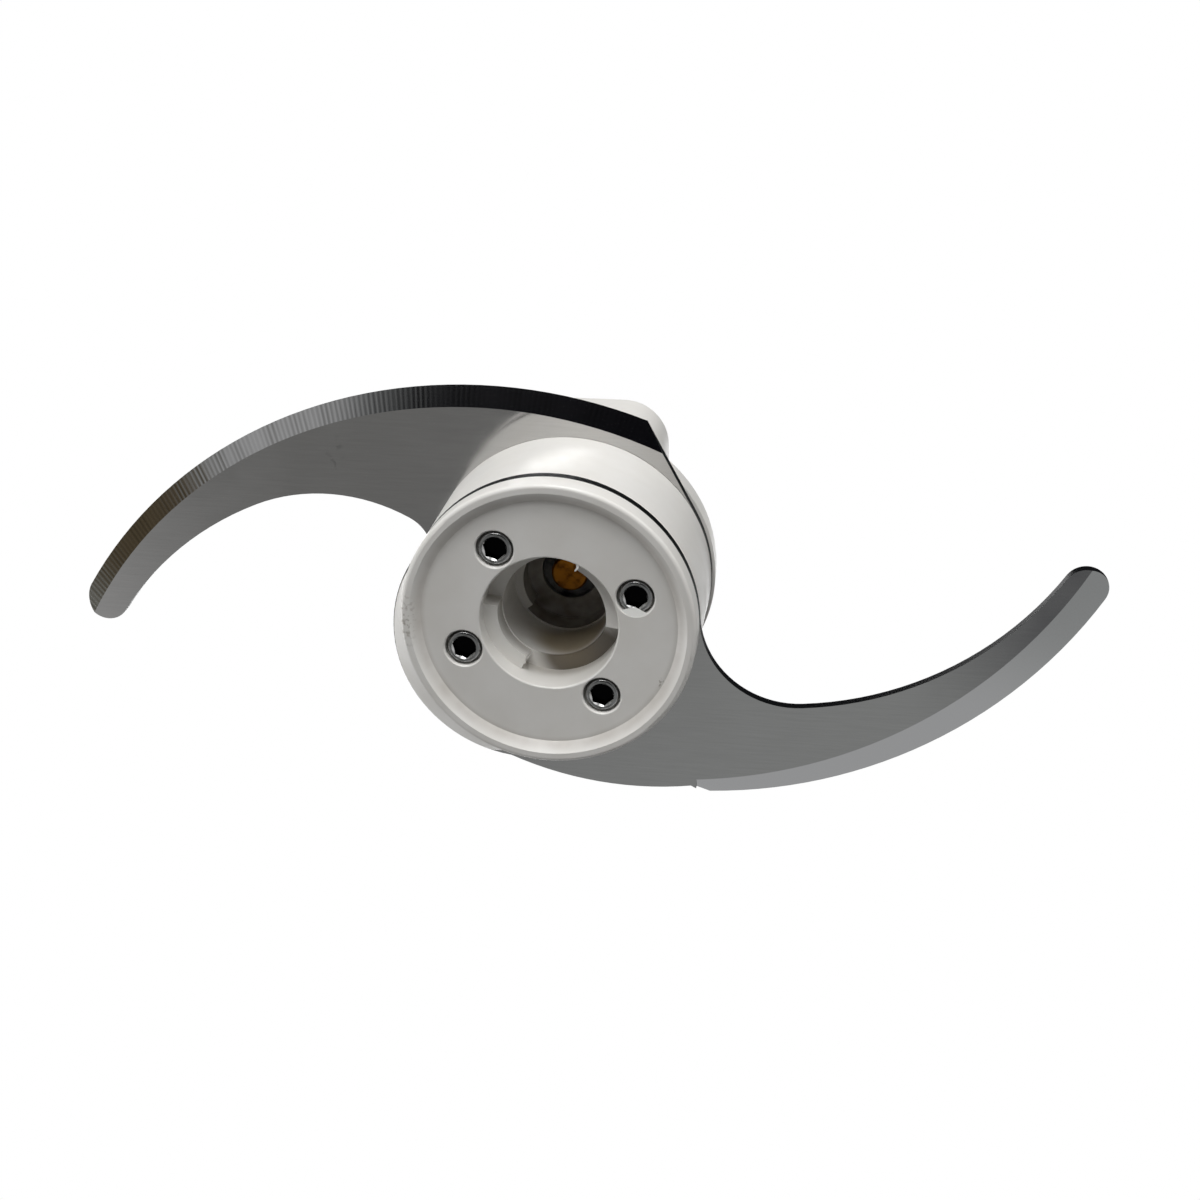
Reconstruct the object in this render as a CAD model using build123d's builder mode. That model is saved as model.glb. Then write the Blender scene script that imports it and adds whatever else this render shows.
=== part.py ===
from build123d import *
import os
from math import acos, atan2, cos, degrees, hypot, radians, sin

# Food processor blade. Millimetres, +Z up the shaft axis from the drive end to the grip.
# The origin is on the axis, in the plane of the rim that the part stands on.

# Stack of the hub, from the drive end up
hub_radius = 27.5
flange_thickness = 4.5
plate_thickness = 2.0
spacer_height = 21.1
spacer_edge = 0.3

# Underside of the flange
rim_width = 1.7
rim_rounding = 0.8
recess_depth = 1.6
recess_wall_width = 1.9

# Drive socket: mouth in the flange, helical ramps on its wall, shaft bore in the top hub and,
# past the bore, a neck with two lands that the shaft's end sits between
mouth_radius = 12.9
mouth_rounding = 0.35
boss_wall = 1.0
boss_height = 5.2
ramp_inner_radius = 10.2
ramp_start_angle = 8.0
ramp_sweep = 70.0
ramp_start_depth = 3.4
ramp_end_depth = 4.4
ramp_count = 2
bore_radius = 10.0
bore_length = 12.6
neck_radius = 9.7
neck_length = 5.4
land_inner_radius = 8.4
land_start_angle = 142.0
land_sweep = 64.0
stud_well_radius = 5.6
stud_well_depth = 2.0
hub_clearance = 0.15

# Brass stud that the shaft's end runs against
stud_radius = 3.6
stud_length = 13.0
stud_stand_out = 1.3
stud_chamfer = 0.4

# Clamp screws and the brass inserts that they thread into
screw_spacing_x = 27.1
screw_spacing_y = 20.9
screw_turn = 17.2
screw_radius = 2.0
screw_length = 30.0
screw_clearance = 0.15
screw_chamfer = 0.4
head_radius = 3.15
head_height = 1.8
head_rounding = 0.5
head_gap = 0.4
head_sink = 0.4
socket_flats = 4.0
socket_depth = 1.3
socket_countersink = 0.35
counterbore_chamfer = 0.25
insert_radius = 2.8
insert_length = 5.0
insert_groove_depth = 0.3
insert_groove_width = 1.2
thread_clearance = 0.05
pocket_spare = 0.5

# Top hub: a tapered shoulder under a grip with two flats
shoulder_overhang = 0.6
shoulder_taper = 0.4
shoulder_height = 7.0
shoulder_rounding = 1.2
grip_step = 0.6
grip_width = 32.0
grip_corner = 9.0
grip_height = 19.0
grip_rounding = 1.8

# Blades, each drawn with its arm towards +X and its cutting edge on the +Y side
edge_land = 0.2

lower_cutting_centre = (24.4, -51.6)
lower_cutting_radius = 86.45
lower_tip_angle = 29.7
lower_tip_radius = 4.1
lower_edge_start_angle = 86.3
lower_bevel_shift = (-5.8, -4.9)
lower_bevel_spread = 2.05
lower_bevel_start = 27.5
lower_hollow_shift = (16.2, 6.0)
lower_root_radius = 17.6
lower_heel_centre = (-4.6, 3.8)
lower_heel_radius = 25.3
lower_heel_start_angle = 219.5
lower_heel_end_angle = 97.5
lower_front_middle = (11.0, 33.5)
lower_front_end = (26.5, 32.9)

upper_corner = (-14.62, 30.76)
upper_cutting_radius = 95.4
upper_edge_start_angle = 109.8
upper_tip_angle = 31.6
upper_tip_radius = 4.4
upper_bevel_shift = (0.7, 0.3)
upper_bevel_spread = -4.2
upper_hollow_centre = (36.2, -50.1)
upper_waist_radius = 35.7
upper_waist_angle = 66.5
upper_root_radius = 8.0

# Heights and radii worked out from the stack
hub_centre = (0.0, 0.0)
rim_inner_radius = hub_radius - rim_width
recess_floor_radius = rim_inner_radius - recess_wall_width
shoulder_radius = hub_radius + shoulder_overhang
shoulder_top_radius = shoulder_radius - shoulder_taper
grip_length = 2 * (shoulder_top_radius - grip_step)
lower_blade_bottom = flange_thickness
spacer_bottom = lower_blade_bottom + plate_thickness
upper_blade_bottom = spacer_bottom + spacer_height
shoulder_bottom = upper_blade_bottom + plate_thickness
grip_bottom = shoulder_bottom + shoulder_height
boss_top = flange_thickness + boss_height
boss_radius = mouth_radius + boss_wall
bore_end = boss_top + bore_length
neck_end = bore_end + neck_length
well_end = neck_end + stud_well_depth
stud_face = neck_end - stud_stand_out
stud_end = stud_face + stud_length
head_face = recess_depth + head_sink
head_seat = head_face + head_height
counterbore_radius = head_radius + head_gap
screw_end = head_seat + screw_length
screw_hole_radius = screw_radius + screw_clearance
plate_hole_radius = boss_radius + hub_clearance
screw_frame = Plane.XY.rotated((0, 0, screw_turn))
screw_places = GridLocations(screw_spacing_x, screw_spacing_y, 2, 2).locations
hub_width = 2 * shoulder_radius


def polar(centre, radius, angle):
    """Point at a radius and an angle in degrees about a centre."""
    return (centre[0] + radius * cos(radians(angle)), centre[1] + radius * sin(radians(angle)))


def shifted(point, shift):
    """Point moved by a shift."""
    return (point[0] + shift[0], point[1] + shift[1])


def direction(start, end):
    """Angle in degrees of the way from one point to another."""
    return degrees(atan2(end[1] - start[1], end[0] - start[0]))


def distance(start, end):
    """Distance between two points."""
    return hypot(end[0] - start[0], end[1] - start[1])


def touching_centre(centre_a, reach_a, centre_b, reach_b):
    """Point reach_a from one centre and reach_b from another, left of the way between them."""
    apart = distance(centre_a, centre_b)
    turn = degrees(acos((reach_a**2 + apart**2 - reach_b**2) / (2 * reach_a * apart)))
    return polar(centre_a, reach_a, direction(centre_a, centre_b) + turn)


def arc_about(centre, start, end):
    """Adds the short arc from start to end about a centre."""
    middle = ((start[0] + end[0]) / 2, (start[1] + end[1]) / 2)
    ThreePointArc(start, polar(centre, distance(centre, start), direction(centre, middle)), end)


# Helical ramp that rises up the wall of the mouth and ends in a drive step
ramp_radius = (ramp_inner_radius + boss_radius) / 2
ramp_start = recess_depth + ramp_start_depth
ramp_rise = ramp_end_depth - ramp_start_depth
with BuildPart() as drive_ramp:
    with BuildLine():
        Helix(ramp_rise * 360 / ramp_sweep, ramp_rise, ramp_radius, (0, 0, ramp_start), lefthand=True)
    with BuildSketch(Plane.XZ):
        with Locations((ramp_inner_radius, ramp_start)):
            Rectangle(mouth_radius + boss_wall / 2 - ramp_inner_radius, boss_top, align=Align.MIN)
    sweep(is_frenet=True)
    split(bisect_by=Plane.XY.offset(boss_top), keep=Keep.BOTTOM)

# Bottom flange: recessed end plate whose boss carries the mouth of the drive socket
with BuildPart() as bottom_flange:
    with BuildSketch(Plane.XZ) as flange_section:
        with BuildLine():
            Polyline(
                (mouth_radius, recess_depth),
                (recess_floor_radius, recess_depth),
                (rim_inner_radius, 0),
                (hub_radius, 0),
                (hub_radius, flange_thickness),
                (boss_radius, flange_thickness),
                (boss_radius, boss_top),
                (mouth_radius, boss_top),
                close=True,
            )
        make_face()
        rim_corner = flange_section.vertices().group_by(Axis.X)[-1].sort_by(Axis.Y)[0]
        fillet(rim_corner, rim_rounding)
        mouth_corner = flange_section.vertices().group_by(Axis.X)[0].sort_by(Axis.Y)[0]
        fillet(mouth_corner, mouth_rounding)
    revolve(axis=Axis.Z)
    with PolarLocations(0, ramp_count, start_angle=ramp_start_angle):
        add(drive_ramp.part)
    with BuildSketch(screw_frame):
        with Locations(screw_places):
            Circle(counterbore_radius)
    extrude(amount=head_seat, mode=Mode.SUBTRACT)
    with BuildSketch(screw_frame.offset(recess_depth)):
        with Locations(screw_places):
            Circle(counterbore_radius + counterbore_chamfer)
    extrude(amount=counterbore_chamfer, taper=45, mode=Mode.SUBTRACT)
    with BuildSketch(screw_frame):
        with Locations(screw_places):
            Circle(screw_hole_radius)
    extrude(amount=flange_thickness, mode=Mode.SUBTRACT)

# Outline of the lower blade: heel, front, cutting edge, round tip and hollow back
lower_bevel_centre = shifted(lower_cutting_centre, lower_bevel_shift)
lower_bevel_radius = lower_cutting_radius + lower_bevel_spread
lower_hollow_centre = shifted(lower_cutting_centre, lower_hollow_shift)
lower_tip = polar(lower_cutting_centre, lower_cutting_radius - lower_tip_radius, lower_tip_angle)
lower_tip_front = polar(lower_cutting_centre, lower_cutting_radius, lower_tip_angle)
lower_hollow_radius = distance(lower_hollow_centre, lower_tip) - lower_tip_radius
lower_tip_back = polar(
    lower_hollow_centre, lower_hollow_radius, direction(lower_hollow_centre, lower_tip)
)
lower_tip_end = polar(lower_tip, lower_tip_radius, direction(hub_centre, lower_tip))
lower_root = touching_centre(
    hub_centre,
    hub_radius + lower_root_radius,
    lower_hollow_centre,
    lower_hollow_radius - lower_root_radius,
)
lower_root_out = polar(
    lower_hollow_centre, lower_hollow_radius, direction(lower_hollow_centre, lower_root)
)
lower_root_in = polar(hub_centre, hub_radius, direction(hub_centre, lower_root))
lower_heel_start = polar(lower_heel_centre, lower_heel_radius, lower_heel_start_angle)
lower_heel_end = polar(lower_heel_centre, lower_heel_radius, lower_heel_end_angle)
lower_edge_start = polar(lower_cutting_centre, lower_cutting_radius, lower_edge_start_angle)
with BuildSketch() as lower_outline:
    with BuildLine():
        arc_about(lower_heel_centre, lower_heel_start, lower_heel_end)
        ThreePointArc(lower_heel_end, lower_front_middle, lower_front_end)
        Line(lower_front_end, lower_edge_start)
        arc_about(lower_cutting_centre, lower_edge_start, lower_tip_front)
        ThreePointArc(lower_tip_front, lower_tip_end, lower_tip_back)
        arc_about(lower_hollow_centre, lower_tip_back, lower_root_out)
        arc_about(lower_root, lower_root_out, lower_root_in)
        Line(lower_root_in, hub_centre)
        Line(hub_centre, lower_heel_start)
    make_face()
    Circle(hub_radius)

# Steel that the grinding wheel takes off the underside of the lower blade
lower_edge_bottom = lower_blade_bottom + plate_thickness - edge_land
with BuildPart() as lower_grinding:
    with BuildSketch(Plane.XY.offset(lower_blade_bottom)):
        with Locations((lower_bevel_start, 0)):
            Rectangle(lower_cutting_radius, 2 * hub_width, align=(Align.MIN, Align.CENTER))
    extrude(amount=plate_thickness - edge_land)
    with BuildSketch(Plane.XY.offset(lower_blade_bottom)):
        with Locations(lower_bevel_centre):
            Circle(lower_bevel_radius)
    with BuildSketch(Plane.XY.offset(lower_edge_bottom)):
        with Locations(lower_cutting_centre):
            Circle(lower_cutting_radius)
    loft(mode=Mode.SUBTRACT)

# Lower blade
with BuildPart() as lower_blade:
    with BuildSketch(Plane.XY.offset(lower_blade_bottom)):
        add(lower_outline.sketch)
        Circle(plate_hole_radius, mode=Mode.SUBTRACT)
    extrude(amount=plate_thickness)
    add(lower_grinding.part, mode=Mode.SUBTRACT)
    with BuildSketch(screw_frame.offset(lower_blade_bottom)):
        with Locations(screw_places):
            Circle(screw_hole_radius)
    extrude(amount=plate_thickness, mode=Mode.SUBTRACT)

# Spacer
with BuildPart() as spacer:
    with BuildSketch(Plane.XY.offset(spacer_bottom)):
        Circle(hub_radius)
    extrude(amount=spacer_height)
    chamfer(spacer.edges(), spacer_edge)
    with BuildSketch(screw_frame.offset(spacer_bottom)):
        Circle(plate_hole_radius)
        with Locations(screw_places):
            Circle(screw_hole_radius)
    extrude(amount=spacer_height, mode=Mode.SUBTRACT)

# Outline of the upper blade: its cutting edge runs on past the hub to a corner
upper_cutting_centre = polar(upper_corner, -upper_cutting_radius, upper_edge_start_angle)
upper_bevel_centre = shifted(upper_cutting_centre, upper_bevel_shift)
upper_bevel_radius = upper_cutting_radius + upper_bevel_spread
upper_tip = polar(upper_cutting_centre, upper_cutting_radius - upper_tip_radius, upper_tip_angle)
upper_tip_front = polar(upper_cutting_centre, upper_cutting_radius, upper_tip_angle)
upper_hollow_radius = distance(upper_hollow_centre, upper_tip) - upper_tip_radius
upper_tip_back = polar(
    upper_hollow_centre, upper_hollow_radius, direction(upper_hollow_centre, upper_tip)
)
upper_tip_end = polar(upper_tip, upper_tip_radius, direction(hub_centre, upper_tip))
upper_waist = polar(
    upper_hollow_centre, upper_hollow_radius - upper_waist_radius, upper_waist_angle
)
upper_waist_out = polar(upper_hollow_centre, upper_hollow_radius, upper_waist_angle)
upper_root = touching_centre(
    hub_centre,
    hub_radius + upper_root_radius,
    upper_waist,
    upper_waist_radius - upper_root_radius,
)
upper_waist_in = polar(upper_waist, upper_waist_radius, direction(upper_waist, upper_root))
upper_root_in = polar(hub_centre, hub_radius, direction(hub_centre, upper_root))
upper_end_turn = degrees(acos(hub_radius / distance(hub_centre, upper_corner)))
upper_end = polar(hub_centre, hub_radius, direction(hub_centre, upper_corner) + upper_end_turn)
with BuildSketch() as upper_outline:
    with BuildLine():
        Line(upper_end, upper_corner)
        arc_about(upper_cutting_centre, upper_corner, upper_tip_front)
        ThreePointArc(upper_tip_front, upper_tip_end, upper_tip_back)
        arc_about(upper_hollow_centre, upper_tip_back, upper_waist_out)
        arc_about(upper_waist, upper_waist_out, upper_waist_in)
        arc_about(upper_root, upper_waist_in, upper_root_in)
        Line(upper_root_in, hub_centre)
        Line(hub_centre, upper_end)
    make_face()
    Circle(hub_radius)

# Steel that the grinding wheel takes off the underside of the upper blade
upper_edge_bottom = upper_blade_bottom + plate_thickness - edge_land
with BuildPart() as upper_grinding:
    with BuildSketch(Plane.XY.offset(upper_blade_bottom)):
        with Locations(upper_cutting_centre):
            Circle(upper_cutting_radius + upper_tip_radius)
    extrude(amount=plate_thickness - edge_land)
    with BuildSketch(Plane.XY.offset(upper_blade_bottom)):
        with Locations(upper_bevel_centre):
            Circle(upper_bevel_radius)
    with BuildSketch(Plane.XY.offset(upper_edge_bottom)):
        with Locations(upper_cutting_centre):
            Circle(upper_cutting_radius)
    loft(mode=Mode.SUBTRACT)

# Upper blade, half a turn round from the lower one
with BuildPart() as upper_blade:
    with BuildSketch(Plane.XY.offset(upper_blade_bottom)):
        add(upper_outline.sketch)
        Circle(plate_hole_radius, mode=Mode.SUBTRACT)
    extrude(amount=plate_thickness)
    add(upper_grinding.part, mode=Mode.SUBTRACT)
    with BuildSketch(screw_frame.offset(upper_blade_bottom)):
        with Locations(screw_places):
            Circle(screw_hole_radius)
    extrude(amount=plate_thickness, mode=Mode.SUBTRACT)

# One land in the neck of the shaft socket
with BuildPart() as shaft_land:
    with BuildSketch(Plane.XY.offset(bore_end)):
        with BuildLine():
            land_inside = CenterArc(hub_centre, land_inner_radius, 0, land_sweep)
            land_outside = CenterArc(hub_centre, (neck_radius + boss_radius) / 2, 0, land_sweep)
            Line(land_inside @ 0, land_outside @ 0)
            Line(land_inside @ 1, land_outside @ 1)
        make_face()
    extrude(amount=neck_length)

# Top hub: shoulder and grip, with the tube that goes down through the stack on to the shaft
with BuildPart() as top_hub:
    with BuildSketch(Plane.XZ) as shoulder_section:
        with BuildLine():
            Polyline(
                (0, shoulder_bottom),
                (shoulder_radius, shoulder_bottom),
                (shoulder_top_radius, grip_bottom),
                (0, grip_bottom),
                close=True,
            )
        make_face()
        shoulder_corner = shoulder_section.vertices().group_by(Axis.Y)[-1].sort_by(Axis.X)[-1]
        fillet(shoulder_corner, shoulder_rounding)
    revolve(axis=Axis.Z)
    with BuildSketch(Plane.XY.offset(grip_bottom)):
        RectangleRounded(grip_width, grip_length, grip_corner)
    extrude(amount=grip_height)
    fillet(top_hub.faces().sort_by(Axis.Z)[-1].edges(), grip_rounding)
    with BuildSketch(Plane.XY.offset(boss_top)):
        Circle(boss_radius)
    extrude(amount=shoulder_bottom - boss_top)
    with BuildSketch(Plane.XZ):
        with BuildLine():
            Polyline(
                (0, boss_top),
                (bore_radius, boss_top),
                (bore_radius, bore_end),
                (neck_radius, bore_end),
                (neck_radius, neck_end),
                (stud_well_radius, neck_end),
                (stud_well_radius, well_end),
                (stud_radius, well_end),
                (stud_radius, stud_end),
                (0, stud_end),
                close=True,
            )
        make_face()
    revolve(axis=Axis.Z, mode=Mode.SUBTRACT)
    with PolarLocations(0, ramp_count, start_angle=land_start_angle):
        add(shaft_land.part)
    with BuildSketch(screw_frame.offset(shoulder_bottom)):
        with Locations(screw_places):
            Circle(insert_radius)
    extrude(amount=insert_length + pocket_spare, mode=Mode.SUBTRACT)

# Brass stud pressed into the top hub at the end of the bore
with BuildPart() as thrust_stud:
    with BuildSketch(Plane.XY.offset(stud_face)):
        Circle(stud_radius)
    extrude(amount=stud_length)
    chamfer(thrust_stud.faces().sort_by(Axis.Z)[0].edges(), stud_chamfer)

# One clamp screw and one insert, on the hub's axis
with BuildPart() as screw_shape:
    with BuildSketch(Plane.XY.offset(head_face)):
        Circle(head_radius)
    extrude(amount=head_height)
    fillet(screw_shape.faces().sort_by(Axis.Z)[0].edges(), head_rounding)
    with BuildSketch(Plane.XY.offset(head_seat)):
        Circle(screw_radius)
    extrude(amount=screw_length)
    chamfer(screw_shape.faces().sort_by(Axis.Z)[-1].edges(), screw_chamfer)
    with BuildSketch(Plane.XY.offset(head_face)):
        RegularPolygon(socket_flats / 2, 6, major_radius=False)
    extrude(amount=socket_depth, mode=Mode.SUBTRACT)
    with BuildSketch(Plane.XY.offset(head_face)):
        Circle(socket_flats / 2 + socket_countersink)
    extrude(amount=socket_countersink, taper=45, mode=Mode.SUBTRACT)

with BuildPart() as insert_shape:
    with BuildSketch(Plane.XY.offset(shoulder_bottom)):
        Circle(insert_radius)
        Circle(screw_radius + thread_clearance, mode=Mode.SUBTRACT)
    extrude(amount=insert_length)
    with BuildSketch(Plane.XY.offset(shoulder_bottom + (insert_length - insert_groove_width) / 2)):
        Circle(insert_radius)
        Circle(insert_radius - insert_groove_depth, mode=Mode.SUBTRACT)
    extrude(amount=insert_groove_width, mode=Mode.SUBTRACT)

pieces = {
    "bottom_flange": bottom_flange.part,
    "lower_blade": lower_blade.part,
    "spacer": spacer.part,
    "upper_blade": upper_blade.part.rotate(Axis.Z, 180),
    "top_hub": top_hub.part,
    "thrust_stud": thrust_stud.part,
}
for number, place in enumerate(screw_places, start=1):
    for name, shape in (("clamp_screw", screw_shape.part), ("threaded_insert", insert_shape.part)):
        with BuildPart() as placed:
            with Locations(screw_frame.location * place):
                add(shape)
        pieces[f"{name}_{number}"] = placed.part

os.makedirs("parts", exist_ok=True)
for name, piece in pieces.items():
    piece.label = name
    export_step(piece, f"parts/{name}.step")
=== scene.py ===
"""Dresses a food processor blade around its solids, and shows it from its drive end.

Sizes and places are in millimetres, and the studio's are in metres. Angles are in degrees. The frame
is the part's own: +Z up the shaft axis from the drive end to the grip, +X towards the lower blade's
arm.
"""

from __future__ import annotations

import logging
from dataclasses import dataclass
from enum import Enum
from math import atan2, cos, degrees, radians, sin, sqrt

import bmesh
import bpy
from mathutils import Matrix, Vector

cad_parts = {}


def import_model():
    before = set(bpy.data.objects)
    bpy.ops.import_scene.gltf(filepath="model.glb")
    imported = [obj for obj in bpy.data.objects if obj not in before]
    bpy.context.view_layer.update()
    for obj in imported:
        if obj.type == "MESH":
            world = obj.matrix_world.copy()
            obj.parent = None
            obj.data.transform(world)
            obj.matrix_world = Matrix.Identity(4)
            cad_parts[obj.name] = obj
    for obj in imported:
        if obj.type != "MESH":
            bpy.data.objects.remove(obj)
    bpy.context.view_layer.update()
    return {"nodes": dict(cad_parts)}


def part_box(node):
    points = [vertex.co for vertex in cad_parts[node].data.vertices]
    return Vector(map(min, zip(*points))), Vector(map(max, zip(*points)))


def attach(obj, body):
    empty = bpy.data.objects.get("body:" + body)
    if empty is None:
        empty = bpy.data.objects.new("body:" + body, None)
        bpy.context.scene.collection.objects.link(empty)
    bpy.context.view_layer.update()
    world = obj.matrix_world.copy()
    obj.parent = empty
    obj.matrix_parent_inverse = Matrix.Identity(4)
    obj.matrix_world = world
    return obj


LOG = logging.getLogger("food_processor_blade")
MM = 0.001
BODY = "root"
WHITE = (1.0, 1.0, 1.0, 1.0)

# Most of a noise's values lie between these two
NOISE_LOW = 0.3
NOISE_HIGH = 0.7

# A wave node of scale 1 repeats every 0.314, so this scale gives one wave for each unit
ONE_WAVE = 0.314

Colour = tuple[float, float, float, float]
Point = tuple[float, float, float]
FlatPoint = tuple[float, float]
Range = tuple[float, float]
Tree = bpy.types.NodeTree
Socket = bpy.types.NodeSocket


class Slot(Enum):
    """Material slots of the part's record. Nothing here reads them, and the new pieces take materials built
    here.
    """

    ACETAL = "white_acetal"


def linear(code: str) -> Colour:
    """Turns an sRGB hex colour to linear light.

    Args:
        code: Six hex digits after a hash sign.

    Returns:
        Red, green, blue and an alpha of 1.
    """
    values = [int(code[place:place + 2], 16) / 255 for place in (1, 3, 5)]
    red, green, blue = (v / 12.92 if v <= 0.04045 else ((v + 0.055) / 1.055) ** 2.4 for v in values)
    return red, green, blue, 1.0


def add(tree: Tree, kind: str, inputs: dict | None = None, **settings: object) -> bpy.types.Node:
    """Adds a node with its settings, and sets or links its inputs.

    Args:
        tree: Node tree that takes the node.
        kind: Type name of the node.
        inputs: Value, or socket to link from, for each input by name or number.
        settings: Attributes of the node.

    Returns:
        The new node.
    """
    node = tree.nodes.new(kind)
    for name, value in settings.items():
        setattr(node, name, value)
    for key, value in (inputs or {}).items():
        if isinstance(value, Socket):
            tree.links.new(value, node.inputs[key])
        else:
            node.inputs[key].default_value = value
    return node


def blend_colour(tree: Tree, amount: Socket, first: Colour | Socket, second: Colour | Socket) -> Socket:
    """Blends two colours.

    Args:
        tree: Node tree that takes the nodes.
        amount: Share of the second colour.
        first: First colour.
        second: Second colour.

    Returns:
        Socket of the blend.
    """
    return add(tree, "ShaderNodeMix", {"Factor": amount, 6: first, 7: second}, data_type="RGBA").outputs[2]


def times(tree: Tree, first: Socket, second: float | Socket) -> Socket:
    """Multiplies two values and gives the socket of the result."""
    return add(tree, "ShaderNodeMath", {0: first, 1: second}, operation="MULTIPLY").outputs[0]


def near_value(tree: Tree, value: Socket, middle: float, reach: float) -> Socket:
    """Gives 1 where a value lies within reach of a middle, and 0 elsewhere."""
    return add(tree, "ShaderNodeMath", {0: value, 1: middle, 2: reach}, operation="COMPARE").outputs[0]


def height_in_mm(tree: Tree) -> Socket:
    """Gives the height above the plane that the part stands on."""
    return add(tree, "ShaderNodeSeparateXYZ", {0: place_in_mm(tree)}).outputs["Z"]


def new_material(name: str) -> tuple[bpy.types.Material, Tree, bpy.types.Node]:
    """Makes an empty material.

    Args:
        name: Name of the real material.

    Returns:
        The material, its node tree and its Principled shader.
    """
    material = bpy.data.materials.new(name)
    material.use_nodes = True
    tree = material.node_tree
    tree.nodes.clear()
    shader = add(tree, "ShaderNodeBsdfPrincipled")
    add(tree, "ShaderNodeOutputMaterial", {"Surface": shader.outputs[0]})
    return material, tree, shader


def place_in_mm(tree: Tree, centre: Point = (0.0, 0.0, 0.0)) -> Socket:
    """Adds a place on the object, measured from a centre.

    Args:
        tree: Node tree that takes the nodes.
        centre: The centre.

    Returns:
        Socket of the place.
    """
    coordinates = add(tree, "ShaderNodeTexCoord")
    mapping = add(tree, "ShaderNodeMapping", {
        "Vector": coordinates.outputs["Object"],
        "Location": [-value for value in centre],
        "Scale": (1 / MM, 1 / MM, 1 / MM),
    })
    return mapping.outputs[0]


def radius_in_mm(tree: Tree, centre: FlatPoint) -> Socket:
    """Adds the distance from an upright axis.

    Args:
        tree: Node tree that takes the nodes.
        centre: Where the axis stands.

    Returns:
        Socket of the distance.
    """
    parts = add(tree, "ShaderNodeSeparateXYZ", {0: place_in_mm(tree, (*centre, 0.0))})
    flat = add(tree, "ShaderNodeCombineXYZ", {"X": parts.outputs["X"], "Y": parts.outputs["Y"]})
    return add(tree, "ShaderNodeVectorMath", {0: flat.outputs[0]}, operation="LENGTH").outputs["Value"]


def polar_place(tree: Tree, centre: FlatPoint, radius: float, arc_step: float, radial_step: float) -> Socket:
    """Adds a place measured round and out from a centre, for marks that follow a curved edge.

    Args:
        tree: Node tree that takes the nodes.
        centre: Centre of the curve.
        radius: Radius of the curve.
        arc_step: Length along the curve that counts as one.
        radial_step: Length across the curve that counts as one.

    Returns:
        Socket of the place.
    """
    parts = add(tree, "ShaderNodeSeparateXYZ", {0: place_in_mm(tree, (*centre, 0.0))})
    angle = add(tree, "ShaderNodeMath", {0: parts.outputs["Y"], 1: parts.outputs["X"]}, operation="ARCTAN2")
    along = times(tree, angle.outputs[0], radius / arc_step)
    across = times(tree, radius_in_mm(tree, centre), 1 / radial_step)
    return add(tree, "ShaderNodeCombineXYZ", {"X": along, "Y": across}).outputs[0]


def noise(tree: Tree, place: Socket, size: float, detail: float = 3.0) -> Socket:
    """Adds a noise whose lumps have a size in the place's units."""
    settings = {"Vector": place, "Scale": 1 / size, "Detail": detail}
    return add(tree, "ShaderNodeTexNoise", settings).outputs["Fac"]


def ramp(tree: Tree, value: Socket, start: float, end: float, low: float = 0.0, high: float = 1.0) -> Socket:
    """Turns a range of a value softly to another range.

    Args:
        tree: Node tree that takes the node.
        value: The value.
        start: Value that becomes low.
        end: Value that becomes high.
        low: Result at the start and before it.
        high: Result at the end and past it.

    Returns:
        Socket of the result.
    """
    return add(tree, "ShaderNodeMapRange", {
        "Value": value, "From Min": start, "From Max": end, "To Min": low, "To Max": high,
    }, interpolation_type="SMOOTHSTEP").outputs[0]


@dataclass(frozen=True)
class DirtAndShadePatch:
    """A rounded patch, for real dirt and for painted shade: full in its core, and broken into specks
    if it has a speck size.
    """

    centre: Point
    reach: Point
    amount: float
    core: float = 0.2
    speck: float = 0.0
    speck_range: Range = (0.5, 0.68)
    colour: str = "#5B4A38"

    def cover(self, tree: Tree, colour: Socket) -> Socket:
        """Lays the patch over a colour.

        Args:
            tree: Node tree of the material.
            colour: Socket of the colour under the patch.

        Returns:
            Socket of the colour with the patch laid over it.
        """
        coordinates = add(tree, "ShaderNodeTexCoord")
        near = add(tree, "ShaderNodeMapping", {
            "Vector": coordinates.outputs["Object"],
            "Location": [-middle / size for middle, size in zip(self.centre, self.reach)],
            "Scale": [1 / (size * MM) for size in self.reach],
        })
        far = add(tree, "ShaderNodeVectorMath", {0: near.outputs[0]}, operation="LENGTH").outputs["Value"]
        mask = ramp(tree, far, self.core, 1.0, self.amount, 0.0)
        if self.speck > 0:
            specks = noise(tree, place_in_mm(tree), self.speck)
            mask = times(tree, mask, ramp(tree, specks, *self.speck_range))
        return blend_colour(tree, mask, colour, linear(self.colour))


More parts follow.
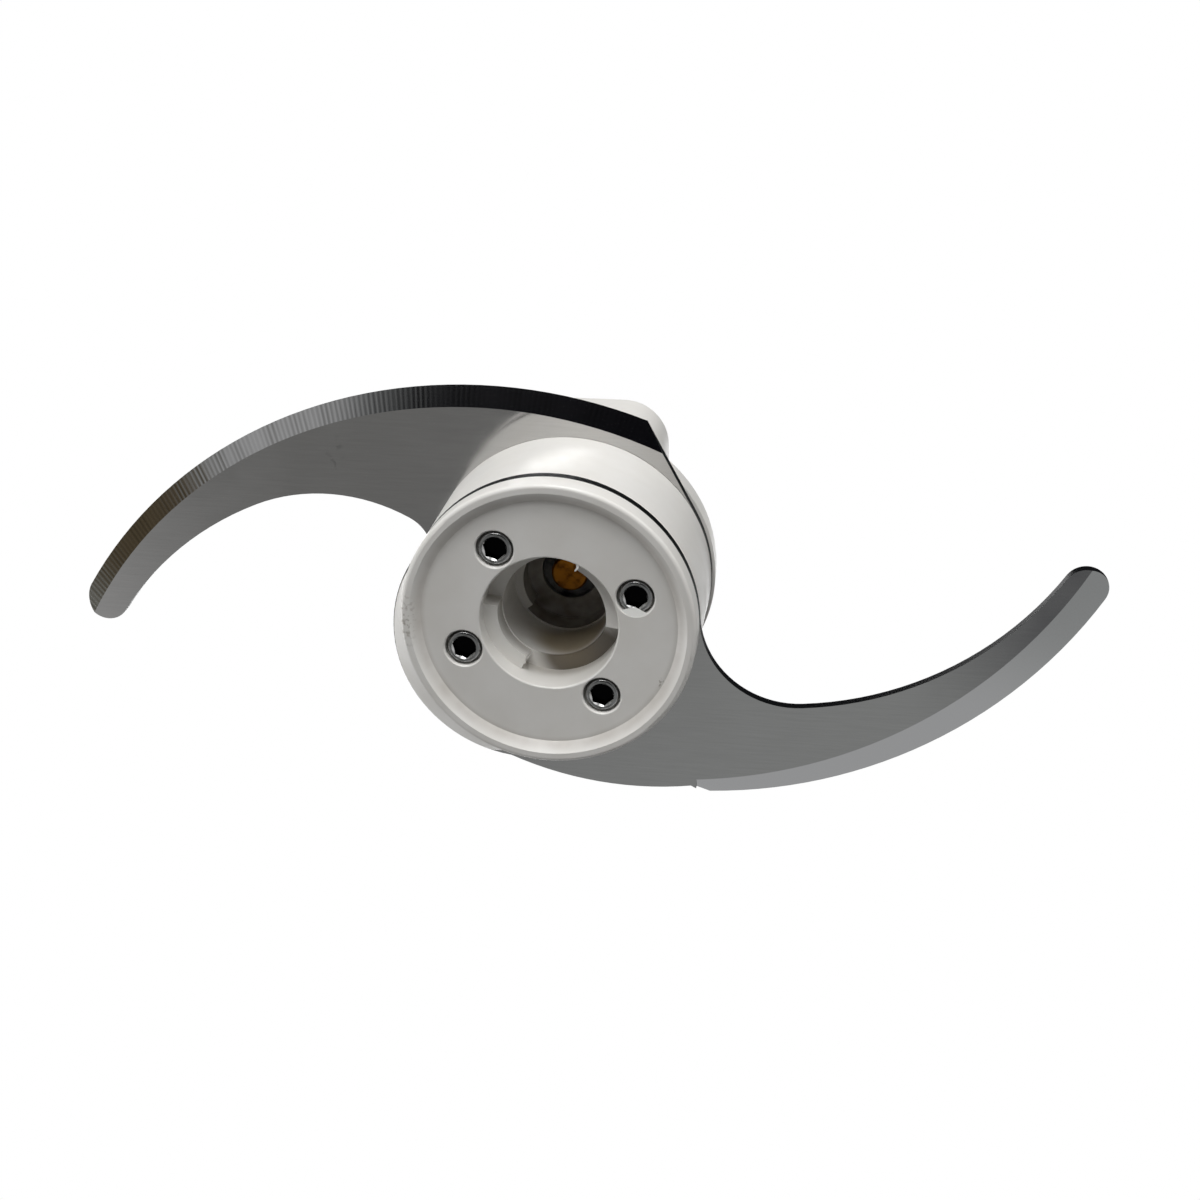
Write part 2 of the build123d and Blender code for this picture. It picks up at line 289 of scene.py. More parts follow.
@dataclass(frozen=True)
class ShadeRing:
    """Painted shade in a ring about the shaft, darker into a recess: it comes in from a start height, is
    full at an end height and stops at a top height."""

    inner_radius: float
    outer_radius: float
    softness: float
    start_height: float
    end_height: float
    amount: float
    top_height: float = 1000.0
    top_softness: float = 0.3
    lump: float = 5.0
    thinnest: float = 0.7
    colour: str = "#4A4032"

    def cover(self, tree: Tree, colour: Socket) -> Socket:
        """Lays the painted shade over a colour.

        Args:
            tree: Node tree of the material.
            colour: Socket of the unshaded colour.

        Returns:
            Socket of the shaded colour.
        """
        radius = radius_in_mm(tree, (0.0, 0.0))
        inside = ramp(tree, radius, self.inner_radius - self.softness, self.inner_radius)
        outside = ramp(tree, radius, self.outer_radius, self.outer_radius + self.softness, 1.0, 0.0)
        height = height_in_mm(tree)
        deep = ramp(tree, height, self.start_height, self.end_height, 0.0, self.amount)
        below = ramp(tree, height, self.top_height, self.top_height + self.top_softness, 1.0, 0.0)
        lumps = noise(tree, place_in_mm(tree), self.lump, detail=4.0)
        uneven = ramp(tree, lumps, NOISE_LOW, NOISE_HIGH, low=self.thinnest, high=1.0)
        mask = times(tree, times(tree, inside, outside), times(tree, times(tree, deep, below), uneven))
        return blend_colour(tree, mask, colour, linear(self.colour))


@dataclass(frozen=True)
class MouldedAcetal:
    """Injection-moulded white acetal, with real dirt and painted shade laid over it in places."""

    name: str
    colour: str = "#EAE9E6"
    shade: str = "#D9D6D0"
    cloud: float = 9.0
    roughness: Range = (0.31, 0.43)
    grain: float = 0.35
    grain_depth: float = 0.01
    grain_strength: float = 0.18
    index: float = 1.48
    dirt_and_shade: tuple[DirtAndShadePatch | ShadeRing, ...] = ()

    def build(self) -> bpy.types.Material:
        """Builds the material.

        Returns:
            The material.
        """
        # A moulded skin looks waxy: a warm white that clouds a little, and a broad, soft highlight
        material, tree, shader = new_material(self.name)
        place = place_in_mm(tree)
        cloud = noise(tree, place, self.cloud)
        colour = blend_colour(tree, cloud, linear(self.colour), linear(self.shade))
        # Real dirt and painted shade in the hollows are laid over the colour
        for item in self.dirt_and_shade:
            colour = item.cover(tree, colour)
        # The grain of the mould is finer on the real part, and is drawn at this size to show
        skin = add(tree, "ShaderNodeBump", {
            "Height": noise(tree, place, self.grain, detail=2.0),
            "Strength": self.grain_strength,
            "Distance": self.grain_depth * MM,
        })
        shader.inputs["IOR"].default_value = self.index
        gloss = ramp(tree, cloud, NOISE_LOW, NOISE_HIGH, *self.roughness)
        tree.links.new(colour, shader.inputs["Base Color"])
        tree.links.new(gloss, shader.inputs["Roughness"])
        tree.links.new(skin.outputs[0], shader.inputs["Normal"])
        return material


@dataclass(frozen=True)
class BladeSteel:
    """Stainless strip with belt-polished faces, sheared rims and ground bevels."""

    name: str
    grind_centre: FlatPoint
    grind_radius: float
    mark_depth: float
    colour: str = "#C8C7C6"
    worn_colour: str = "#BAB9B8"
    bevel_colour: str = "#C6C6C6"
    mark_colour: str = "#8C8C8A"
    rim_shade_colour: str = "#151618"
    mark_spacing: float = 1.0
    mark_length: float = 9.0
    mark_patch: float = 5.0
    mark_patch_range: Range = (0.35, 0.65)
    faintest_mark: float = 0.25
    grit: float = 0.35
    grit_share: float = 0.3
    belt_spacing: float = 0.3
    belt_length: float = 6.6
    belt_depth: float = 0.004
    belt_strength: float = 0.2
    cloud: float = 14.0
    face_roughness: Range = (0.07, 0.14)
    bevel_roughness: float = 0.12
    rim_roughness: float = 0.5
    bevel_tilt: float = -0.8
    bevel_range: float = 0.1988
    rim_range: float = 0.5
    smudges: tuple[DirtAndShadePatch, ...] = ()

    def build(self) -> bpy.types.Material:
        """Builds the material.

        Returns:
            The material.
        """
        # Faces mirror the room with a faint drag along the belt, the wheel leaves bevels that flash
        # as they turn, and the sheared rims are painted near-black as shade
        material, tree, shader = new_material(self.name)
        place = place_in_mm(tree)
        # The height part of the normal tells a bevel from a flat face, and a rim from both
        normal = add(tree, "ShaderNodeTexCoord").outputs["Normal"]
        tilt = add(tree, "ShaderNodeSeparateXYZ", {0: normal}).outputs["Z"]
        bevel = near_value(tree, tilt, self.bevel_tilt, self.bevel_range)
        rim = near_value(tree, tilt, 0.0, self.rim_range)
        marks = self.grinding_marks(tree)
        # Belt lines are finer than a pixel on the real face, so they are drawn at this spacing
        brushed = add(tree, "ShaderNodeMapping", {
            "Vector": place, "Scale": (1 / self.belt_length, 1 / self.belt_spacing, 1.0),
        })
        belt = noise(tree, brushed.outputs[0], 1.0)
        face = blend_colour(tree, belt, linear(self.colour), linear(self.worn_colour))
        for smudge in self.smudges:
            face = smudge.cover(tree, face)
        ground = blend_colour(tree, marks, linear(self.bevel_colour), linear(self.mark_colour))
        colour = blend_colour(tree, bevel, face, ground)
        # Painted shade: the rims, which face sideways, are coloured near-black
        colour = blend_colour(tree, rim, colour, linear(self.rim_shade_colour))
        cloud = noise(tree, place, self.cloud, detail=4.0)
        polish = ramp(tree, cloud, NOISE_LOW, NOISE_HIGH, *self.face_roughness)
        rough = add(tree, "ShaderNodeMix", {"Factor": bevel, 2: polish, 3: self.bevel_roughness})
        rough = add(tree, "ShaderNodeMix", {"Factor": rim, 2: rough.outputs[0], 3: self.rim_roughness})
        cuts = add(tree, "ShaderNodeBump", {
            "Height": times(tree, marks, bevel), "Strength": 1.0, "Distance": self.mark_depth * MM,
        }, invert=True)
        lines = add(tree, "ShaderNodeBump", {
            "Height": belt,
            "Strength": self.belt_strength,
            "Distance": self.belt_depth * MM,
            "Normal": cuts.outputs[0],
        })
        shader.inputs["Metallic"].default_value = 1.0
        tree.links.new(colour, shader.inputs["Base Color"])
        tree.links.new(rough.outputs[0], shader.inputs["Roughness"])
        tree.links.new(lines.outputs[0], shader.inputs["Normal"])
        return material

    def grinding_marks(self, tree: Tree) -> Socket:
        """Adds the wheel marks, which run from the edge inwards at an even spacing and vary in depth.

        Args:
            tree: Node tree of the material.

        Returns:
            Socket that is 1 in a mark and 0 between marks.
        """
        place = polar_place(tree, self.grind_centre, self.grind_radius, self.mark_spacing, self.mark_length)
        wave = add(tree, "ShaderNodeTexWave", {
            "Vector": place, "Scale": ONE_WAVE, "Distortion": 1.2, "Detail": 2.0, "Detail Scale": 1.5,
        }, wave_type="BANDS", bands_direction="X", wave_profile="SIN").outputs["Fac"]
        patches = noise(tree, place, self.mark_patch, detail=2.0)
        depth = ramp(tree, patches, *self.mark_patch_range, low=self.faintest_mark, high=1.0)
        coarse = times(tree, wave, depth)
        fine = noise(tree, place, self.grit)
        return add(tree, "ShaderNodeMix", {"Factor": self.grit_share, 2: coarse, 3: fine}).outputs[0]


@dataclass(frozen=True)
class TurnedMetal:
    """Bar metal turned on a lathe, with painted shade, near-black, in a hole down its axis if it has a hole
    radius.
    """

    name: str
    colour: str
    tarnish: str
    roughness: Range
    ring_spacing: float = 0.22
    ring_length: float = 3.0
    ring_depth: float = 0.006
    ring_strength: float = 0.3
    cloud: float = 1.6
    tarnish_range: Range = (0.4, 0.75)
    hole_radius: float = 0.0
    hole_start: float = 0.0
    hole_edge: float = 0.03
    hole_fade: float = 0.06
    hole_shade_colour: str = "#0C0C0D"

    def build(self, axis: FlatPoint) -> bpy.types.Material:
        """Builds the material for a piece on one axis.

        Args:
            axis: Where the piece's axis stands.

        Returns:
            The material.
        """
        # The tool leaves rings round the axis, which draw the highlight out into a short arc. They
        # are finer on the real part, and are drawn at this spacing to show
        material, tree, shader = new_material(self.name)
        place = place_in_mm(tree, (*axis, 0.0))
        ring_place = polar_place(tree, axis, 1.0, self.ring_length, self.ring_spacing)
        rings = noise(tree, ring_place, 1.0, detail=2.0)
        cloud = noise(tree, place, self.cloud, detail=4.0)
        dulled = ramp(tree, cloud, *self.tarnish_range)
        colour = blend_colour(tree, dulled, linear(self.colour), linear(self.tarnish))
        # Painted shade: inside the hole, past its start height, the colour turns near-black
        if self.hole_radius > 0:
            radius = radius_in_mm(tree, axis)
            inside = ramp(tree, radius, self.hole_radius, self.hole_radius + self.hole_edge, 1.0, 0.0)
            sunk = ramp(tree, height_in_mm(tree), self.hole_start, self.hole_start + self.hole_fade)
            colour = blend_colour(tree, times(tree, inside, sunk), colour, linear(self.hole_shade_colour))
        rough = ramp(tree, cloud, NOISE_LOW, NOISE_HIGH, *self.roughness)
        turned = add(tree, "ShaderNodeBump", {
            "Height": rings, "Strength": self.ring_strength, "Distance": self.ring_depth * MM,
        })
        shader.inputs["Metallic"].default_value = 1.0
        tree.links.new(colour, shader.inputs["Base Color"])
        tree.links.new(rough, shader.inputs["Roughness"])
        tree.links.new(turned.outputs[0], shader.inputs["Normal"])
        return material


def dress(node: bpy.types.Object, material: bpy.types.Material) -> None:
    """Gives every material slot of an object one material.

    Args:
        node: The object.
        material: Its finish.
    """
    if not node.material_slots:
        node.data.materials.append(material)
    for slot in node.material_slots:
        slot.material = material
    LOG.info("%s: dressed in %s", node.name, material.name)


def finish_piece(name: str, shape: bmesh.types.BMesh, material: bpy.types.Material) -> None:
    """Turns a bmesh in millimetres to an object that rides on the part.

    Args:
        name: Name of the piece.
        shape: Its mesh, in the part's frame.
        material: Its finish.
    """
    bmesh.ops.scale(shape, verts=shape.verts, vec=(MM, MM, MM))
    bmesh.ops.recalc_face_normals(shape, faces=shape.faces)
    mesh = bpy.data.meshes.new(name)
    shape.to_mesh(mesh)
    shape.free()
    mesh.materials.append(material)
    piece = bpy.data.objects.new(name, mesh)
    bpy.context.scene.collection.objects.link(piece)
    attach(piece, BODY)
    LOG.info("%s: %d faces", name, len(mesh.polygons))


def middle_of(node: str) -> FlatPoint:
    """Gives the place of the axis of an upright round node."""
    low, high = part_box(node)
    return (low[0] + high[0]) / (2 * MM), (low[1] + high[1]) / (2 * MM)


@dataclass
class Blades:
    """The two curved blades, whose grinding wheels ran round the centres of the cutting edges."""

    lower_grind_centre: FlatPoint = (24.4, -51.6)
    lower_grind_radius: float = 86.45
    upper_grind_centre: FlatPoint = (-17.7, 59.0)
    upper_grind_radius: float = 95.4
    upper_mark_depth: float = 0.014
    smudge: DirtAndShadePatch = DirtAndShadePatch(
        (-46.1, -21.7, 27.6), reach=(2.2, 5.0, 1.0), amount=0.5, speck=1.6, colour="#6E6F6E",
    )

    def build(self, nodes: dict[str, bpy.types.Object]) -> None:
        """Dresses both blades.

        Args:
            nodes: The part's nodes by name.
        """
        # The lower bevel was ground so fine that its marks don't show
        lower = BladeSteel(
            "belt_polished_stainless_lower", self.lower_grind_centre, self.lower_grind_radius,
            mark_depth=0.0, mark_colour=BladeSteel.bevel_colour,
        )
        upper = BladeSteel(
            "belt_polished_stainless_upper", self.upper_grind_centre, self.upper_grind_radius,
            mark_depth=self.upper_mark_depth, smudges=(self.smudge,),
        )
        dress(nodes["lower_blade"], lower.build())
        dress(nodes["upper_blade"], upper.build())


@dataclass
class Hub:
    """The white plastic of the hub: flange, spacer and top hub, with the brass that they hold."""

    shadow_radius: float = 3.65
    shadow_half_height: float = 2.1
    shadow_middle: float = 4.5
    flange_dirt_and_shade: tuple[DirtAndShadePatch | ShadeRing, ...] = (
        # Painted shade, with some grime, in the corner at the foot of the recess wall
        ShadeRing(
            inner_radius=24.2, outer_radius=24.4, softness=1.4, start_height=-1.0, end_height=0.4,
            amount=0.3, lump=3.0, colour="#7C6C5C",
        ),
        # Painted shade down the flange's bore, coming in between heights of 5.6 and 9 mm
        ShadeRing(
            inner_radius=0.0, outer_radius=13.1, softness=0.2, start_height=5.6, end_height=9.0,
            amount=0.45, colour="#6A5D48",
        ),
        # Real dirt: brown specks on the rim, and a speck on the floor
        DirtAndShadePatch((-26.3, 0.5, 0.5), reach=(2.2, 7.5, 3.0), amount=0.5, speck=0.8, colour="#6E5D4A"),
        DirtAndShadePatch((20.9, 10.6, 1.6), reach=(0.9, 1.3, 1.0), amount=0.7, speck=0.5),
    )
    # Painted shade down the bore of the top hub: darker patches on the ledge and the wall, a darker neck,
    # and a near-black ring round the stud
    bore_shade: tuple[DirtAndShadePatch | ShadeRing, ...] = (
        DirtAndShadePatch((5.5, 9.0, 9.7), reach=(10.5, 8.0, 1.0), amount=0.9, core=0.6, colour="#4A4030"),
        DirtAndShadePatch((3.0, 9.0, 16.5), reach=(11.0, 10.0, 8.5), amount=0.85, core=0.45, colour="#8A7A5C"),
        ShadeRing(
            inner_radius=0.0, outer_radius=9.9, softness=0.1, start_height=22.2, end_height=22.5,
            amount=0.85, top_height=27.9, colour="#5A4E3E",
        ),
        ShadeRing(
            inner_radius=0.0, outer_radius=7.6, softness=0.3, start_height=27.9, end_height=28.3,
            amount=1.0, top_height=40.0, colour="#080604",
        ),
    )

    def build(self, nodes: dict[str, bpy.types.Object]) -> bpy.types.Material:
        """Dresses the hub.

        Args:
            nodes: The part's nodes by name.

        Returns:
            The flange's plastic, for the pieces that were moulded with it.
        """
        screws = sorted(name for name in nodes if name.startswith("clamp_screw"))
        counterbore_shades = tuple(self.counterbore_shadow(name) for name in screws)
        flange = MouldedAcetal("moulded_white_acetal_flange", dirt_and_shade=self.flange_dirt_and_shade + counterbore_shades).build()
        dress(nodes["bottom_flange"], flange)
        dress(nodes["spacer"], MouldedAcetal("moulded_white_acetal_spacer").build())
        dress(nodes["top_hub"], MouldedAcetal("moulded_white_acetal_top", dirt_and_shade=self.bore_shade).build())
        brass = TurnedMetal("turned_brass", "#A86C24", "#6A3E12", roughness=(0.38, 0.54), ring_spacing=0.5)
        inserts = sorted(name for name in nodes if name.startswith("threaded_insert"))
        for name in ["thrust_stud", *inserts]:
            dress(nodes[name], brass.build(middle_of(name)))
        return flange

    def counterbore_shadow(self, screw: str) -> DirtAndShadePatch:
        """Gives the painted shade in the gap round a screw's head, a near-black patch.

        Args:
            screw: Node of the screw.

        Returns:
            The painted shade, over the floor and the wall of the counterbore.
        """
        # The painted shade reaches 0.1 mm past the wall, so that the wall is painted dark too
        return DirtAndShadePatch(
            (*middle_of(screw), self.shadow_middle),
            reach=(self.shadow_radius, self.shadow_radius, self.shadow_half_height),
            amount=1.0, core=0.9, colour="#0E0D0B",
        )


@dataclass
class FlangeSkirt:
    """Flared skirt of the flange under the heel of the lower blade, which the solids leave out."""

    inner_radius: float = 27.52
    least_width: float = 0.03
    start_height: float = 0.8
    edge_height: float = 4.1
    top_height: float = 4.46
    heel_centre: FlatPoint = (-4.6, 3.8)
    heel_radius: float = 25.3
    margin: float = 0.25
    start_angle: float = 101.0
    end_angle: float = 206.0
    end_taper: float = 14.0
    steps: int = 84

    def build(self, plastic: bpy.types.Material) -> None:
        """Spins the skirt's section round the shaft, and pulls its edge out under the heel.

        Args:
            plastic: The flange's plastic.
        """
        edge_radius = self.inner_radius + self.least_width
        section = (
            (self.inner_radius, self.start_height), (edge_radius, self.edge_height),
            (edge_radius, self.top_height), (self.inner_radius, self.top_height),
        )
        shape = bmesh.new()
        face = shape.faces.new([shape.verts.new((radius, 0.0, height)) for radius, height in section])
        start = Matrix.Rotation(radians(self.start_angle), 3, "Z")
        bmesh.ops.rotate(shape, verts=shape.verts, cent=(0.0, 0.0, 0.0), matrix=start)
        bmesh.ops.spin(shape, geom=[face, *face.edges, *face.verts], cent=(0.0, 0.0, 0.0),
                       axis=(0.0, 0.0, 1.0), angle=radians(self.end_angle - self.start_angle),
                       steps=self.steps)
        for vertex in shape.verts:
            place = vertex.co.xy
            if place.length > self.inner_radius + self.least_width / 2:
                vertex.co.xy = place.normalized() * (edge_radius + self.reach(place))
        finish_piece("flange_skirt", shape, plastic)

    def reach(self, place: Vector) -> float:
        """Gives how far the skirt's edge is pulled out at a place.

        Args:
            place: The place, seen from above.

        Returns:
            The length, which tapers to nothing at both ends of the skirt.
        """
        outward = place.normalized()
        middle = Vector(self.heel_centre)
        along = outward.dot(middle)
        heel = along + sqrt(along ** 2 - middle.length_squared + self.heel_radius ** 2)
        angle = degrees(atan2(outward.y, outward.x)) % 360
        from_end = min(angle - self.start_angle, self.end_angle - angle)
        share = min(max(from_end / self.end_taper, 0.0), 1.0)
        return max(heel - self.margin - self.inner_radius, 0.0) * sin(radians(90 * share))


@dataclass(frozen=True)
class Strand:
    """A burr of plastic: its path from its root, and the radius of its root."""

    path: tuple[Point, ...]
    radius: float


@dataclass
class MouldFlash:
    """Thin plastic that the moulding left: a skin over part of one screw hole, and burrs in the mouth."""

    hole_node: str = "clamp_screw_3"
    hole_bottom: float = 1.62
    hole_radius: float = 3.78
    hole_sides: int = 64
    skin_thickness: float = 0.08
    skin_slope: float = 0.14
    skin_edge: tuple[FlatPoint, ...] = ((12.9, -3.3), (16.0, -4.1), (18.5, -2.9))
    strand_sides: int = 10
    strand_taper: float = 0.7
    strands: tuple[Strand, ...] = (
        Strand(((-5.3, 10.2, 5.95), (-5.1, 9.4, 5.3), (-4.6, 8.0, 4.6), (-4.4, 7.4, 4.2)), 0.24),
        Strand(((-4.75, 9.1, 5.9), (-4.4, 8.4, 5.0), (-3.7, 7.4, 4.1), (-3.4, 6.9, 3.7)), 0.22),
        Strand(((5.5, -11.8, 1.75), (5.4, -11.1, 1.7), (5.0, -10.7, 1.65)), 0.3),
    )

    def build(self, plastic: bpy.types.Material) -> None:
        """Adds the skin and the burrs.

        Args:
            plastic: The flange's plastic.
        """
        self.add_skin()
        for number, strand in enumerate(self.strands, 1):
            self.add_strand(f"mould_burr_{number}", strand, plastic)

    def add_skin(self) -> None:
        """Adds the skin over the hole, with its free edge bent in towards the screw."""
        across, along = middle_of(self.hole_node)
        shape = bmesh.new()
        thick = self.skin_thickness
        bmesh.ops.create_cone(shape, cap_ends=True, segments=self.hole_sides, radius1=self.hole_radius,
                              radius2=self.hole_radius - thick, depth=thick)
        bmesh.ops.translate(shape, verts=shape.verts, vec=(across, along, self.hole_bottom + thick / 2))
        for start, end in zip(self.skin_edge, self.skin_edge[1:]):
            cut = Vector((end[1] - start[1], start[0] - end[0], 0.0)).normalized()
            parts = shape.verts[:] + shape.edges[:] + shape.faces[:]
            bmesh.ops.bisect_plane(shape, geom=parts, plane_co=(*start, 0.0), plane_no=cut, clear_outer=True)
            bmesh.ops.holes_fill(shape, edges=shape.edges, sides=0)
        for vertex in shape.verts:
            vertex.co.z += self.skin_slope * (along + self.hole_radius - vertex.co.y)
        # So thin a skin lets light through, which makes it whiter than the wall round it, and that light is
        # painted into its colour
        thin = MouldedAcetal("thin_white_acetal", colour="#FBFBF8", shade="#F3F3EE")
        finish_piece("screw_hole_skin", shape, thin.build())

    def add_strand(self, name: str, strand: Strand, plastic: bpy.types.Material) -> None:
        """Adds a burr that thins along its path.

        Args:
            name: Name of the piece.
            strand: The burr.
            plastic: The flange's plastic.
        """
        shape = bmesh.new()
        bmesh.ops.create_circle(shape, cap_ends=True, segments=self.strand_sides, radius=strand.radius)
        bmesh.ops.translate(shape, verts=shape.verts, vec=strand.path[0])
        face = shape.faces[:][0]
        for start, end in zip(strand.path, strand.path[1:]):
            tip = bmesh.ops.extrude_face_region(shape, geom=[face])["geom"]
            face = next(item for item in tip if isinstance(item, bmesh.types.BMFace))
            verts = [item for item in tip if isinstance(item, bmesh.types.BMVert)]
            bmesh.ops.translate(shape, verts=verts, vec=Vector(end) - Vector(start))
            bmesh.ops.scale(shape, verts=verts, vec=[self.strand_taper] * 3,
                            space=Matrix.Translation(-Vector(end)))
        finish_piece(name, shape, plastic)


@dataclass
class ClampScrews:
    """The four socket screws, whose hexagon sockets are painted near-black inside as shade."""

    socket_radius: float = 2.36
    head_face: float = 2.0
    countersink: float = 0.32

    def build(self, nodes: dict[str, bpy.types.Object]) -> None:
        """Dresses the screws.

        Args:
            nodes: The part's nodes by name.
        """
        steel = TurnedMetal(
            "turned_stainless", "#A8A8A8", "#72726F", roughness=(0.14, 0.30),
            hole_radius=self.socket_radius, hole_start=self.head_face + self.countersink,
        )
        for name in sorted(nodes):
            if name.startswith("clamp_screw"):
                dress(nodes[name], steel.build(middle_of(name)))


@dataclass(frozen=True)
class Surrounding:
    """A soft-edged part of the room that the steel mirrors, full within its inner angle."""

    toward: Point
    inner_angle: float
    outer_angle: float
    colour: str


@dataclass(frozen=True)
class Lamp:
    """A square lamp that points at the hub."""

    name: str
    place: Point
    size: float
    power: float

    def build(self, aim: Point) -> None:
        """Adds the lamp.

        Args:
            aim: The point that it points at.
        """
        data = bpy.data.lights.new(self.name, "AREA")
        data.size = self.size
        data.energy = self.power
        lamp = bpy.data.objects.new(self.name, data)
        toward = Vector(aim) - Vector(self.place)
        turn = toward.to_track_quat("-Z", "Y").to_matrix().to_4x4()
        lamp.matrix_world = Matrix.Translation(self.place) @ turn
        bpy.context.scene.collection.objects.link(lamp)


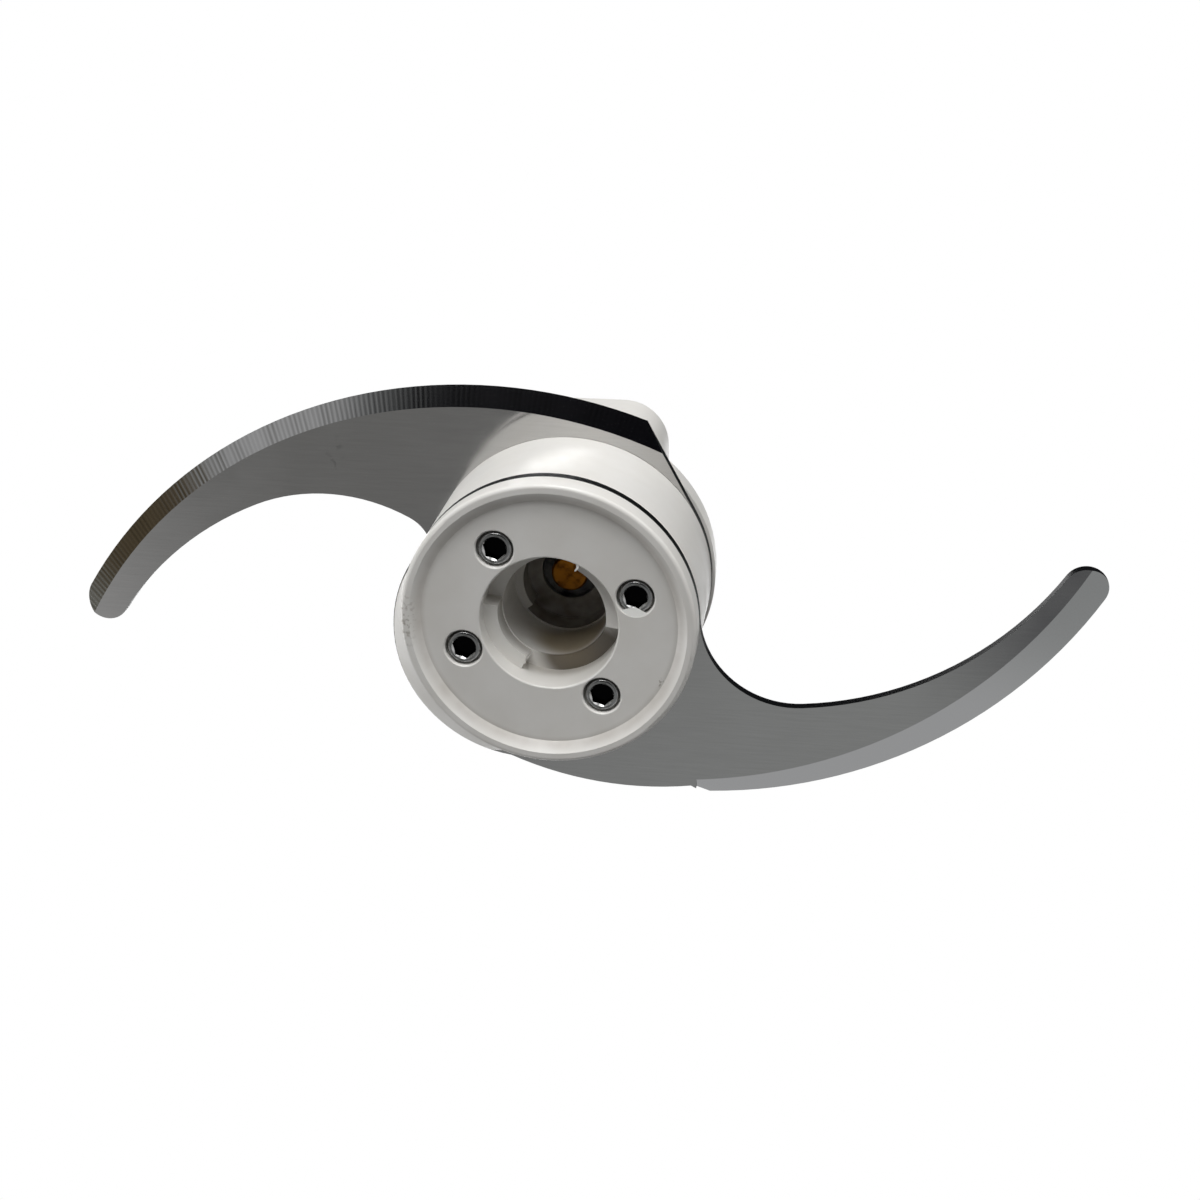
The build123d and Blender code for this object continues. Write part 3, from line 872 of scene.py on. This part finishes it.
@dataclass
class Studio:
    """Pale floor, plain soft light and the camera, in metres but for the lens and its sensor.

    The heights of the light and of the mirrored room are the height part of a direction, from -1
    straight down to 1 straight up.
    """

    camera_place: Point = (0.0604, -0.1517, -0.3477)
    camera_right: Point = (0.98958, 0.0, 0.1440)
    camera_up: Point = (-0.05518, -0.92363, 0.3792)
    lens: float = 63.05
    sensor: float = 36.0
    nearest: float = 0.01
    aim: Point = (0.0, 0.0, 0.02)
    floor_radius: float = 3.0
    floor_sides: int = 96
    floor_drop: float = 0.0003
    floor_fade: Range = (0.2, 1.1)
    floor_colour: str = "#F2F1EE"
    light_heights: Range = (-0.5, 0.5)
    ground_light: float = 0.15
    sky_light: float = 0.3
    low_mirror: str = "#9A9C9C"
    low_mirror_heights: Range = (-0.6, -0.3)
    high_mirror: str = "#1C1E22"
    high_mirror_heights: Range = (0.5, 0.85)
    surroundings: tuple[Surrounding, ...] = (
        Surrounding((-0.61, -0.41, -0.68), 5.0, 14.0, "#BDBDBE"),
        Surrounding((-0.95, 0.10, -0.30), 16.0, 30.0, "#84847E"),
        Surrounding((-0.86, -0.14, -0.49), 5.0, 14.0, "#584D3A"),
        Surrounding((0.10, 0.93, -0.34), 16.0, 30.0, "#BABBBC"),
        Surrounding((0.02, -0.34, -0.94), 20.0, 36.0, "#06060C"),
        Surrounding((-0.40, 0.42, -0.81), 4.0, 12.0, "#B4B4B4"),
        Surrounding((-0.22, 0.31, -0.93), 4.0, 11.0, "#7E7E7D"),
        Surrounding((0.14, 0.34, -0.93), 3.5, 8.5, "#606163"),
    )
    lamps: tuple[Lamp, ...] = (
        Lamp("key", (-0.05, -0.95, -0.12), 0.45, 4.0),
        Lamp("low_key", (-0.1, -0.85, -0.45), 0.45, 4.4),
        Lamp("right", (0.64, -0.67, -0.20), 0.45, 1.9),
        Lamp("left", (-0.92, 0.33, 0.0), 0.45, 3.6),
        Lamp("top", (-0.25, 0.45, 1.1), 0.9, 8.0),
    )

    def build(self) -> None:
        """Builds the stage, the lights and the camera."""
        bpy.context.scene.view_settings.view_transform = "Standard"
        self.add_floor()
        self.add_world()
        for lamp in self.lamps:
            lamp.build(self.aim)
        self.add_camera()
        LOG.info("studio built")

    def add_floor(self) -> None:
        """Adds the floor just below the part."""
        shape = bmesh.new()
        bmesh.ops.create_circle(shape, cap_ends=True, segments=self.floor_sides, radius=self.floor_radius)
        bmesh.ops.translate(shape, verts=shape.verts, vec=(0, 0, -self.floor_drop))
        mesh = bpy.data.meshes.new("floor")
        shape.to_mesh(mesh)
        shape.free()
        mesh.materials.append(self.floor_paint())
        floor = bpy.data.objects.new("floor", mesh)
        bpy.context.scene.collection.objects.link(floor)

    def floor_paint(self) -> bpy.types.Material:
        """Builds the floor's paint.

        Returns:
            Matt paint that fades to the white background far out. Only a camera above it sees it,
            and from below light and view pass through.
        """
        material = bpy.data.materials.new("matt_floor_paint")
        material.use_nodes = True
        tree = material.node_tree
        tree.nodes.clear()
        paint = add(tree, "ShaderNodeBsdfDiffuse", {"Color": linear(self.floor_colour)})
        white = add(tree, "ShaderNodeEmission", {"Color": WHITE, "Strength": 1.0})
        place = add(tree, "ShaderNodeTexCoord").outputs["Object"]
        far = add(tree, "ShaderNodeVectorMath", {0: place}, operation="LENGTH").outputs["Value"]
        fade = ramp(tree, far, *self.floor_fade)
        top = add(tree, "ShaderNodeMixShader", {0: fade, 1: paint.outputs[0], 2: white.outputs[0]})
        clear = add(tree, "ShaderNodeBsdfTransparent")
        path = add(tree, "ShaderNodeLightPath")
        side = add(tree, "ShaderNodeNewGeometry")
        front = add(tree, "ShaderNodeMath", {0: 1.0, 1: side.outputs["Backfacing"]}, operation="SUBTRACT")
        seen = times(tree, path.outputs["Is Camera Ray"], front.outputs[0])
        surface = add(tree, "ShaderNodeMixShader", {0: seen, 1: clear.outputs[0], 2: top.outputs[0]})
        add(tree, "ShaderNodeOutputMaterial", {"Surface": surface.outputs[0]})
        return material

    def add_world(self) -> None:
        """Adds the white background, the soft light and the room that the metal mirrors."""
        world = bpy.data.worlds.new("studio")
        bpy.context.scene.world = world
        world.use_nodes = True
        tree = world.node_tree
        tree.nodes.clear()
        toward = add(tree, "ShaderNodeTexCoord").outputs["Generated"]
        height = add(tree, "ShaderNodeSeparateXYZ", {0: toward}).outputs["Z"]
        room = self.mirrored_room(tree, toward, height)
        level = ramp(tree, height, *self.light_heights, self.ground_light, self.sky_light)
        light = add(tree, "ShaderNodeBackground", {"Color": WHITE, "Strength": level})
        mirror = add(tree, "ShaderNodeBackground", {"Color": room, "Strength": 1.0})
        white = add(tree, "ShaderNodeBackground", {"Color": WHITE, "Strength": 1.0})
        path = add(tree, "ShaderNodeLightPath").outputs
        rays = {0: path["Is Glossy Ray"], 1: path["Is Transmission Ray"]}
        shiny = add(tree, "ShaderNodeMath", rays, operation="MAXIMUM").outputs[0]
        lit = add(tree, "ShaderNodeMixShader", {0: shiny, 1: light.outputs[0], 2: mirror.outputs[0]})
        seen = add(tree, "ShaderNodeMixShader", {
            0: path["Is Camera Ray"], 1: lit.outputs[0], 2: white.outputs[0],
        })
        add(tree, "ShaderNodeOutputWorld", {"Surface": seen.outputs[0]})

    def mirrored_room(self, tree: Tree, toward: Socket, height: Socket) -> Socket:
        """Adds the room that the metal mirrors: white all round, grey below and dark overhead.

        Args:
            tree: Node tree of the world.
            toward: Direction that is looked in.
            height: Height part of that direction.

        Returns:
            Socket of the room's colour, with the surroundings laid over it.
        """
        low = ramp(tree, height, *self.low_mirror_heights)
        room = blend_colour(tree, low, linear(self.low_mirror), WHITE)
        high = ramp(tree, height, *self.high_mirror_heights)
        room = blend_colour(tree, high, room, linear(self.high_mirror))
        for item in self.surroundings:
            directions = {0: toward, 1: Vector(item.toward).normalized()}
            near = add(tree, "ShaderNodeVectorMath", directions, operation="DOT_PRODUCT").outputs["Value"]
            amount = ramp(tree, near, cos(radians(item.outer_angle)), cos(radians(item.inner_angle)))
            room = blend_colour(tree, amount, room, linear(item.colour))
        return room

    def add_camera(self) -> None:
        """Adds the camera below the drive end, where the photograph was taken from."""
        data = bpy.data.cameras.new("camera")
        data.lens = self.lens
        data.sensor_width = self.sensor
        data.clip_start = self.nearest
        camera = bpy.data.objects.new("camera", data)
        right = Vector(self.camera_right).normalized()
        up = Vector(self.camera_up).normalized()
        back = right.cross(up).normalized()
        turn = Matrix((right, up, back)).transposed().to_4x4()
        camera.matrix_world = Matrix.Translation(self.camera_place) @ turn
        bpy.context.scene.collection.objects.link(camera)
        bpy.context.scene.camera = camera


def main() -> None:
    """Dresses the part, adds what the solids leave out, and sets the studio up."""
    logging.basicConfig(level=logging.INFO, format="%(name)s: %(message)s")
    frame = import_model()
    nodes = frame["nodes"]
    plastic = Hub().build(nodes)
    FlangeSkirt().build(plastic)
    MouldFlash().build(plastic)
    ClampScrews().build(nodes)
    Blades().build(nodes)
    Studio().build()


if __name__ == "__main__":
    main()
